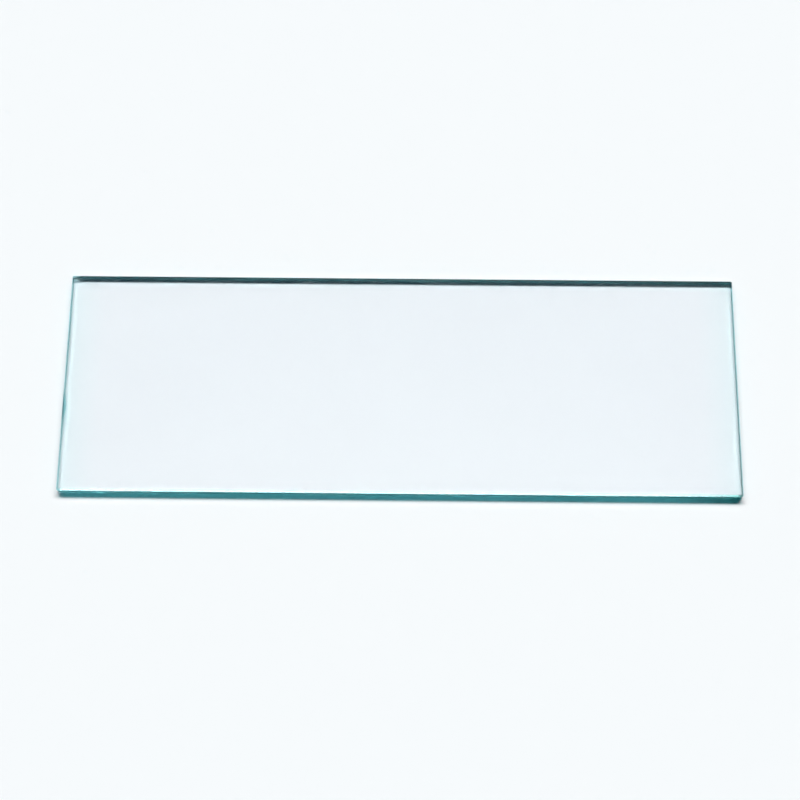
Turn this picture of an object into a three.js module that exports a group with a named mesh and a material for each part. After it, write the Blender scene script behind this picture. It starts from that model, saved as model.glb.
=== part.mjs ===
// A plain microscope slide: one thin rectangular plate of clear soda-lime glass.
//
// The plate is scored and snapped from drawn sheet, so its two large faces are
// flat and parallel, its four side faces stand square to them, and its four
// corners are square. Only the sharpness is taken off: a narrow 45-degree break
// runs round both faces, and the upright corner edges are dubbed over.
//
// Millimetres. The slide lies flat: +Z is up, X runs along the long edges, Y along
// the short ones, and the origin is the middle of the face that it lies on.

import * as THREE from 'three';

// Driving dimensions.
const LENGTH = 75; // long edges, along X
const WIDTH = 25; // short edges, along Y
const THICKNESS = 1; // between the two large faces, along Z
const EDGE_BREAK = 0.06; // width of the 45-degree break round both faces
const CORNER_RADIUS = 0.2; // dubbed upright edges at the four square corners
const CORNER_STEPS = 3; // divisions in half of one corner's quarter turn

const clearGlass = new THREE.MeshStandardMaterial({
  name: 'clear_glass',
  color: new THREE.Color(0.86, 0.95, 0.95),
  roughness: 0.03,
  metalness: 0,
  transparent: true,
  opacity: 0.35,
});

// The plate's outline, seen from above, with its four dubbed corners.
function plateOutline(length, width, radius) {
  const cornerX = length / 2 - radius;
  const cornerY = width / 2 - radius;
  const quarterTurn = Math.PI / 2;
  const outline = new THREE.Shape();
  outline.moveTo(-cornerX, -width / 2);
  outline.absarc(cornerX, -cornerY, radius, -quarterTurn, 0, false);
  outline.absarc(cornerX, cornerY, radius, 0, quarterTurn, false);
  outline.absarc(-cornerX, cornerY, radius, quarterTurn, 2 * quarterTurn, false);
  outline.absarc(-cornerX, -cornerY, radius, 2 * quarterTurn, 3 * quarterTurn, false);
  return outline;
}

// The whole slide is one solid: the outline carried up through the glass, drawn
// in by the edge break at the bottom face and again at the top face.
function glassSlide() {
  const geometry = new THREE.ExtrudeGeometry(plateOutline(LENGTH, WIDTH, CORNER_RADIUS), {
    depth: THICKNESS - 2 * EDGE_BREAK,
    curveSegments: CORNER_STEPS,
    bevelEnabled: true,
    bevelThickness: EDGE_BREAK,
    bevelSize: EDGE_BREAK,
    bevelOffset: -EDGE_BREAK,
    bevelSegments: 1,
  });
  const mesh = new THREE.Mesh(geometry, clearGlass);
  mesh.name = 'glass_slide';
  mesh.position.z = EDGE_BREAK;
  return mesh;
}

const microscopeSlide = new THREE.Group();
microscopeSlide.add(glassSlide());

export default microscopeSlide;
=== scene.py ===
import math

import bpy
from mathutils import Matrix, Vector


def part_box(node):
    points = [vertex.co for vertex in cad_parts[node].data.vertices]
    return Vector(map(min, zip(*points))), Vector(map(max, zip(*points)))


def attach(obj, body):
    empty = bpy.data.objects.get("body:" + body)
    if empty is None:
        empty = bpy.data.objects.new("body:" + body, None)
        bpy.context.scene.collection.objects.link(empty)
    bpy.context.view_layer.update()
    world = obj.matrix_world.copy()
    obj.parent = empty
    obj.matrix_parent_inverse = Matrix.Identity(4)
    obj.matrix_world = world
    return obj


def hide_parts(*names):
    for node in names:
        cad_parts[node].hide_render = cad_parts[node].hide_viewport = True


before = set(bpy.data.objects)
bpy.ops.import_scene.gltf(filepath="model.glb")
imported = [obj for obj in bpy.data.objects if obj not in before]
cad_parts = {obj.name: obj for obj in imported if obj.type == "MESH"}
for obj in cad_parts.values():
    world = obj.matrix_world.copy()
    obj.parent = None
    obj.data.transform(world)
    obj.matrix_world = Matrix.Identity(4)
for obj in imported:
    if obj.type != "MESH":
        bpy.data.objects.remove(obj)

scene = bpy.context.scene
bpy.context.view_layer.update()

# The camera stands in front of the slide's long edge and looks steeply down on it, from
# close by, so that the far edge looks a little shorter than the near one.
CAMERA_LENS_MM = 66.15
CAMERA_SENSOR_MM = 36.0
CAMERA_SHIFT = -0.0019
CAMERA_PLACE = (0.00111, -0.04738, 0.15765)
CAMERA_TURN_DEG = (16.25, 0.24, 0.62)

camera_data = bpy.data.cameras.new("slide_camera")
camera_data.lens = CAMERA_LENS_MM
camera_data.sensor_width = CAMERA_SENSOR_MM
camera_data.shift_y = CAMERA_SHIFT
camera = bpy.data.objects.new("slide_camera", camera_data)
camera.location = CAMERA_PLACE
camera.rotation_euler = [math.radians(turn) for turn in CAMERA_TURN_DEG]
scene.collection.objects.link(camera)
scene.camera = camera

# The slide is one thin plate of clear soda-lime glass, drawn flat and then scored and
# snapped to size. Its two faces are bright and true. The upper rim has been rubbed to a
# narrow flat break, widest along the front, and the lower rim is crisp.
slide_low, slide_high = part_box("glass_slide")
slide_size = slide_high - slide_low
slide_middle = (slide_low + slide_high) / 2
half_length = slide_size.x / 2
half_width = slide_size.y / 2
CORNER_RADIUS = 0.0002
CORNER_SEGMENTS = 5
SIDE_STEP = 0.0005
FRONT_BREAK = 0.00022
REAR_BREAK = 0.00014
END_BREAK = 0.00014
LOWER_BREAK = 0.00001
TOUCH = 1e-7
PARALLEL = 0.999
X_AXIS = 0
Y_AXIS = 1
Z_AXIS = 2

bpy.ops.object.select_all(action="DESELECT")
bpy.ops.mesh.primitive_cube_add(size=1, location=slide_middle, scale=slide_size)
slide = bpy.context.object
slide.name = "slide_glass"
slide.data.name = "slide_glass"
bpy.ops.object.transform_apply(location=True, rotation=False, scale=True)


def edge_ends(edge):
    """The places of an edge's two ends."""
    return [slide.data.vertices[index].co.copy() for index in edge.vertices]


def select_edges_along(axis):
    """Leaves edit mode open, with only the edges selected that run along one axis."""
    bpy.ops.object.mode_set(mode="EDIT")
    bpy.ops.mesh.select_mode(type="EDGE")
    bpy.ops.mesh.select_all(action="DESELECT")
    bpy.ops.object.mode_set(mode="OBJECT")
    for edge in slide.data.edges:
        start, end = edge_ends(edge)
        run = end - start
        edge.select = abs(run[axis]) > PARALLEL * run.length
    bpy.ops.object.mode_set(mode="EDIT")


# The upright corners are dubbed over. The plate is then cut into short steps both ways, so
# that a flake in its rim can die away along it.
select_edges_along(Z_AXIS)
bpy.ops.mesh.bevel(offset=CORNER_RADIUS, segments=CORNER_SEGMENTS, profile=0.5)
for axis in (X_AXIS, Y_AXIS):
    select_edges_along(axis)
    bpy.ops.mesh.subdivide(number_cuts=round(slide_size[axis] / SIDE_STEP) - 1)
bpy.ops.object.mode_set(mode="OBJECT")


def is_on_side(point):
    """True for a point on one of the four sides or on the round of a corner."""
    from_end = half_length - abs(point.x - slide_middle.x)
    from_long_side = half_width - abs(point.y - slide_middle.y)
    return min(from_end, from_long_side) < CORNER_RADIUS - TOUCH


def is_rim(start, end, height):
    """True for an edge where the face at that height meets the sides."""
    return all(abs(point.z - height) < TOUCH and is_on_side(point) for point in (start, end))


# Each rim edge carries its own width of break, as a share of the widest one. Round a
# corner the width goes over from the long side's to the end's.
break_share = slide.data.attributes.new("bevel_weight_edge", "FLOAT", "EDGE")
for edge in slide.data.edges:
    start, end = edge_ends(edge)
    if is_rim(start, end, slide_high.z):
        run = (end - start).normalized()
        long_side_break = FRONT_BREAK if start.y < slide_middle.y else REAR_BREAK
        width = long_side_break * run.x ** 2 + END_BREAK * run.y ** 2
        break_share.data[edge.index].value = width / FRONT_BREAK
    elif is_rim(start, end, slide_low.z):
        break_share.data[edge.index].value = LOWER_BREAK / FRONT_BREAK
rubbed_rims = slide.modifiers.new("rubbed_rims", "BEVEL")
rubbed_rims.limit_method = "WEIGHT"
rubbed_rims.width = FRONT_BREAK
rubbed_rims.segments = 1
bpy.ops.object.modifier_apply(modifier=rubbed_rims.name)
bpy.ops.object.mode_set(mode="EDIT")
bpy.ops.mesh.select_all(action="SELECT")
bpy.ops.mesh.remove_doubles(threshold=TOUCH)
bpy.ops.object.mode_set(mode="OBJECT")


def select_points(indices):
    """Leaves edit mode open, with only these points selected."""
    bpy.ops.object.mode_set(mode="EDIT")
    bpy.ops.mesh.select_mode(type="VERT")
    bpy.ops.mesh.select_all(action="DESELECT")
    bpy.ops.object.mode_set(mode="OBJECT")
    for index in indices:
        slide.data.vertices[index].select = True
    bpy.ops.object.mode_set(mode="EDIT")


# Two shallow flakes have come off the upper rim, one just forward of the middle of the left
# end and one at the rear left corner. There the flat face stops farther in. Each has its
# place, how far the face's edge is drawn in, and how far along the rim that dies away.
LEFT_FLAKE = ((slide_low.x, -0.0031), (0.00030, 0.0), 0.0024)
CORNER_FLAKE = ((slide_low.x, slide_high.y), (0.0, -0.00020), 0.0009)

for place, pull, reach in (LEFT_FLAKE, CORNER_FLAKE):
    upper_points = {point.index: math.dist(point.co.xy, place) for point in slide.data.vertices
                    if abs(point.co.z - slide_high.z) < TOUCH}
    nearest = min(upper_points, key=upper_points.get)
    select_points(upper_points)
    bpy.ops.mesh.hide(unselected=True)
    select_points([nearest])
    bpy.ops.transform.translate(value=(*pull, 0.0), use_proportional_edit=True,
                                proportional_edit_falloff="SMOOTH", proportional_size=reach)
    bpy.ops.mesh.reveal(select=False)
    bpy.ops.object.mode_set(mode="OBJECT")

# Light that passes through a cut side, or close by it, turns blue-green. Along the rear, at
# the front's right end and in the left flake, painted shade deepens that tint well past the
# glass's own colour. The faces are all but colourless, with painted cyan shade towards the
# ends. The chipped rear left corner is dull and pale.
GLASS_IOR = 1.52
BODY_COLOUR = (0.60, 0.90, 0.92, 1.0)
BODY_DENSITY = 50.0
FACE_TINT = (0.990, 0.985, 0.996, 1.0)
# Painted cyan shade on the faces near the ends.
FACE_END_SHADE = (0.955, 0.985, 0.992, 1.0)
FACE_END_SHADE_REACH = 0.0040
FRONT_TINT = (0.36, 0.70, 0.74, 1.0)
# Painted shade: the front's last centimetre at the right is tinted near-black green.
RIGHT_END_SHADE = (0.01, 0.13, 0.11, 1.0)
RIGHT_SHADE_LENGTH = 0.0100
# Edge colour, deepened along the rear by painted shade.
REAR_TINT_AND_SHADE = (0.08, 0.36, 0.39, 1.0)
# Along the rear, the tint spread in over the face is painted shade.
LONG_SIDE_TINT_AND_SHADE_MARGIN = 0.00030
END_TINT = (0.28, 0.60, 0.63, 1.0)
END_MARGIN = 0.00014
# Painted shade in and round the left flake.
FLAKE_SHADE = (0.04, 0.30, 0.30, 1.0)
FLAKE_SHADE_REACH = 0.0030
FLAKE_SHADE_CORE = 0.0005
CHIP_TINT = (0.40, 0.58, 0.60, 1.0)
CHIP_REACH = 0.0011
CHIP_CORE = 0.00055
CHIP_ROUGHNESS = 1.0
LONG_SIDE_NORMAL_X = 0.2
END_NORMAL_X = 0.6
FACE_NORMAL_Z = 0.999
SLOPE_NORMAL_Z = 0.97


def set_or_link(tree, value, socket):
    """Gives a socket a plain value, or joins it to the socket that the value comes from."""
    if isinstance(value, bpy.types.NodeSocket):
        tree.links.new(value, socket)
    else:
        socket.default_value = value


def combined(tree, operation, first, second):
    """One sum on two values."""
    result = tree.nodes.new("ShaderNodeMath")
    result.operation = operation
    set_or_link(tree, first, result.inputs[0])
    set_or_link(tree, second, result.inputs[1])
    return result.outputs["Value"]


def vector_result(tree, operation, output, first, second=(0.0, 0.0, 0.0)):
    """One sum on a vector, or on two."""
    result = tree.nodes.new("ShaderNodeVectorMath")
    result.operation = operation
    set_or_link(tree, first, result.inputs[0])
    set_or_link(tree, second, result.inputs[1])
    return result.outputs[output]


def parts_of(tree, vector):
    """The X, Y and Z of a vector."""
    parts = tree.nodes.new("ShaderNodeSeparateXYZ")
    tree.links.new(vector, parts.inputs["Vector"])
    return parts.outputs


def share_between(tree, source, low, high, top=1.0):
    """How far a value has come from low to high, from 0 to the top."""
    share = tree.nodes.new("ShaderNodeMapRange")
    share.inputs["From Min"].default_value = low
    share.inputs["From Max"].default_value = high
    share.inputs["To Max"].default_value = top
    tree.links.new(source, share.inputs["Value"])
    return share.outputs["Result"]


def colour_between(tree, share, first, second):
    """A colour that goes from the first to the second with the share."""
    mix = tree.nodes.new("ShaderNodeMix")
    mix.data_type = "RGBA"
    # The node has sockets of the same names for each kind of value, so these go by number.
    factor, first_colour, second_colour = mix.inputs[0], mix.inputs[6], mix.inputs[7]
    tree.links.new(share, factor)
    set_or_link(tree, first, first_colour)
    set_or_link(tree, second, second_colour)
    return mix.outputs[2]


glass = bpy.data.materials.new("clear_glass")
glass.use_nodes = True
pane = glass.node_tree
glass_shader = pane.nodes["Principled BSDF"]
glass_shader.inputs["Transmission Weight"].default_value = 1.0
glass_shader.inputs["IOR"].default_value = GLASS_IOR
glass_body = pane.nodes.new("ShaderNodeVolumeAbsorption")
glass_body.inputs["Color"].default_value = BODY_COLOUR
glass_body.inputs["Density"].default_value = BODY_DENSITY
pane.links.new(glass_body.outputs["Volume"], pane.nodes["Material Output"].inputs["Volume"])

place_on_slide = pane.nodes.new("ShaderNodeTexCoord").outputs["Object"]
true_normal = pane.nodes.new("ShaderNodeNewGeometry").outputs["True Normal"]
where = parts_of(pane, place_on_slide)
outward = parts_of(pane, vector_result(pane, "ABSOLUTE", "Vector", place_on_slide))
facing = parts_of(pane, vector_result(pane, "ABSOLUTE", "Vector", true_normal))

# A cut side's tint goes by its place: along the front, from front to rear, and on an end.
# The near-black right end of the front, the deeper rear and the dark left flake are painted
# shade.
toward_right_shade = share_between(pane, where["X"], half_length - RIGHT_SHADE_LENGTH, half_length)
front_tint_and_right_shade = colour_between(pane, toward_right_shade, FRONT_TINT, RIGHT_END_SHADE)
toward_rear_shade = share_between(pane, where["Y"], -half_width, half_width)
long_side_tint_and_shade = colour_between(pane, toward_rear_shade, front_tint_and_right_shade, REAR_TINT_AND_SHADE)
flake_place = (*LEFT_FLAKE[0], slide_high.z)
from_flake = vector_result(pane, "DISTANCE", "Value", place_on_slide, flake_place)
in_flake_shade = share_between(pane, from_flake, FLAKE_SHADE_REACH, FLAKE_SHADE_CORE)
end_tint_and_flake_shade = colour_between(pane, in_flake_shade, END_TINT, FLAKE_SHADE)
on_end = share_between(pane, facing["X"], LONG_SIDE_NORMAL_X, END_NORMAL_X)
side_tint_and_shade = colour_between(pane, on_end, long_side_tint_and_shade, end_tint_and_flake_shade)

# Close to the chipped corner, all but the flat faces is dull and pale.
on_slope = share_between(pane, facing["Z"], FACE_NORMAL_Z, SLOPE_NORMAL_Z)
chip_place = (*CORNER_FLAKE[0], slide_high.z)
from_chip = vector_result(pane, "DISTANCE", "Value", place_on_slide, chip_place)
near_chip = share_between(pane, from_chip, CHIP_REACH, CHIP_CORE)
on_chip = combined(pane, "MULTIPLY", near_chip, on_slope)
cut_tint_and_shade = colour_between(pane, on_chip, side_tint_and_shade, CHIP_TINT)

# The cut sides' tint reaches a little way in over the faces, and fades out there. Along the
# rear that spread is painted shade, which darkens the dark band under the rim.
at_long_side_tint_and_shade = share_between(pane, outward["Y"], half_width - LONG_SIDE_TINT_AND_SHADE_MARGIN, half_width)
at_end = share_between(pane, outward["X"], half_length - END_MARGIN, half_length)
at_rim = combined(pane, "MAXIMUM", at_long_side_tint_and_shade, at_end)
on_cut = combined(pane, "MAXIMUM", at_rim, on_slope)
# Painted cyan shade on the faces, growing towards the ends.
toward_end_shade = share_between(pane, outward["X"], half_length - FACE_END_SHADE_REACH, half_length)
face_tint_and_end_shade = colour_between(pane, toward_end_shade, FACE_TINT, FACE_END_SHADE)
glass_tint_and_shade = colour_between(pane, on_cut, face_tint_and_end_shade, cut_tint_and_shade)
pane.links.new(glass_tint_and_shade, glass_shader.inputs["Base Color"])
chip_roughness = share_between(pane, on_chip, 0.0, 1.0, CHIP_ROUGHNESS)
pane.links.new(chip_roughness, glass_shader.inputs["Roughness"])
slide.data.materials.append(glass)

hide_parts("glass_slide")
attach(slide, "root")

# The floor is a plain matt white board. The slide lies flat on it, over a gap too thin to
# see, so that no two surfaces share one place.
FLOOR_SIZE = 6.0
FLOOR_GAP = 0.000004
FLOOR_COLOUR = (0.876, 0.900, 0.912, 1.0)

bpy.ops.object.select_all(action="DESELECT")
floor_place = (0.0, 0.0, slide_low.z - FLOOR_GAP)
bpy.ops.mesh.primitive_plane_add(size=FLOOR_SIZE, location=floor_place)
floor = bpy.context.object
floor.name = "floor"
board = bpy.data.materials.new("white_board")
board.use_nodes = True
board_shader = board.node_tree.nodes["Principled BSDF"]
board_shader.inputs["Base Color"].default_value = FLOOR_COLOUR
board_shader.inputs["Roughness"].default_value = 1.0
board_shader.inputs["Specular IOR Level"].default_value = 0.0
floor.data.materials.append(board)

# The light is one long soft window high behind the slide, in a dim cool room. The pale
# wall all round, the shade above it and the grey ceiling right overhead are only seen,
# straight or by way of the glass, and throw no light on the floor.
WINDOW_RISE = math.radians(51)
WINDOW_HALF_WIDTH = math.tan(math.radians(42))
WINDOW_HALF_HEIGHT = math.tan(math.radians(10.5))
WINDOW_CORE = 0.4
WINDOW_STRENGTH = 19.65
WINDOW_COLOUR = (1.0, 1.0, 1.0, 1.0)
LEAST_AHEAD = 0.01
ROOM_COLOUR = (0.0, 0.01, 0.015, 1.0)
WALL_COLOUR = (0.95, 0.98, 1.0, 1.0)
WALL_TOP_DEG = 35
SHADE_COLOUR = (0.02, 0.06, 0.12, 1.0)
SHADE_FROM_DEG = 55
SHADE_TO_DEG = 69
CEILING_COLOUR = (0.40, 0.44, 0.45, 1.0)
CEILING_FROM_DEG = 79

world = bpy.data.worlds.new("studio")
scene.world = world
world.use_nodes = True
sky = world.node_tree
direction = sky.nodes.new("ShaderNodeTexCoord").outputs["Generated"]

# Seen from the middle of the room, the window is an ellipse. It is at full strength over its
# core and fades from there to its rim. Of the directions that point away from it, only a
# speck right behind counts as in it, and the floor hides that.
turned = sky.nodes.new("ShaderNodeMapping")
turned.vector_type = "VECTOR"
turned.inputs["Rotation"].default_value[X_AXIS] = math.radians(90) - WINDOW_RISE
sky.links.new(direction, turned.inputs["Vector"])
to_window = turned.outputs["Vector"]
ahead = combined(sky, "MAXIMUM", parts_of(sky, to_window)["Z"], LEAST_AHEAD)
per_half_size = (1 / WINDOW_HALF_WIDTH, 1 / WINDOW_HALF_HEIGHT, 0.0)
aside = vector_result(sky, "MULTIPLY", "Vector", to_window, per_half_size)
from_middle = combined(sky, "DIVIDE", vector_result(sky, "LENGTH", "Value", aside), ahead)
window_glow = share_between(sky, from_middle, 1.0, WINDOW_CORE, WINDOW_STRENGTH)
window_glow.node.interpolation_type = "SMOOTHSTEP"
window = sky.nodes["Background"]
window.inputs["Color"].default_value = WINDOW_COLOUR
sky.links.new(window_glow, window.inputs["Strength"])

wall_tones = sky.nodes.new("ShaderNodeValToRGB")
ramp = wall_tones.color_ramp
ramp.interpolation = "EASE"
for rise, tone in ((WALL_TOP_DEG, WALL_COLOUR), (SHADE_FROM_DEG, SHADE_COLOUR),
                   (SHADE_TO_DEG, SHADE_COLOUR), (CEILING_FROM_DEG, CEILING_COLOUR)):
    ramp.elements.new(math.sin(math.radians(rise))).color = tone
ramp.elements.remove(ramp.elements[0])
ramp.elements.remove(ramp.elements[-1])
sky.links.new(parts_of(sky, direction)["Z"], wall_tones.inputs["Fac"])
wall = sky.nodes.new("ShaderNodeBackground")
sky.links.new(wall_tones.outputs["Color"], wall.inputs["Color"])
room = sky.nodes.new("ShaderNodeBackground")
room.inputs["Color"].default_value = ROOM_COLOUR

# Light that has been scattered by the matt floor finds the dim room there, not the wall.
ray = sky.nodes.new("ShaderNodeLightPath").outputs
seen_or_mirrored = combined(sky, "MAXIMUM", ray["Is Camera Ray"], ray["Is Glossy Ray"])
seen = combined(sky, "MAXIMUM", seen_or_mirrored, ray["Is Transmission Ray"])
only_seen = combined(sky, "SUBTRACT", seen, ray["Diffuse Depth"])
only_seen.node.use_clamp = True
room_or_wall = sky.nodes.new("ShaderNodeMixShader")
sky.links.new(only_seen, room_or_wall.inputs["Fac"])
sky.links.new(room.outputs["Background"], room_or_wall.inputs[1])
sky.links.new(wall.outputs["Background"], room_or_wall.inputs[2])
all_light = sky.nodes.new("ShaderNodeAddShader")
sky.links.new(room_or_wall.outputs["Shader"], all_light.inputs[0])
sky.links.new(window.outputs["Background"], all_light.inputs[1])
sky.links.new(all_light.outputs["Shader"], sky.nodes["World Output"].inputs["Surface"])

# Light goes many times from face to face inside the glass before it leaves at a side.
GLASS_BOUNCES = 64
FLOOR_BOUNCES = 6
scene.view_settings.view_transform = "Standard"
scene.cycles.max_bounces = GLASS_BOUNCES
scene.cycles.transmission_bounces = GLASS_BOUNCES
scene.cycles.glossy_bounces = GLASS_BOUNCES
scene.cycles.diffuse_bounces = FLOOR_BOUNCES
scene.cycles.blur_glossy = 0.0
scene.cycles.sample_clamp_indirect = 0.0
scene.cycles.use_guiding = True
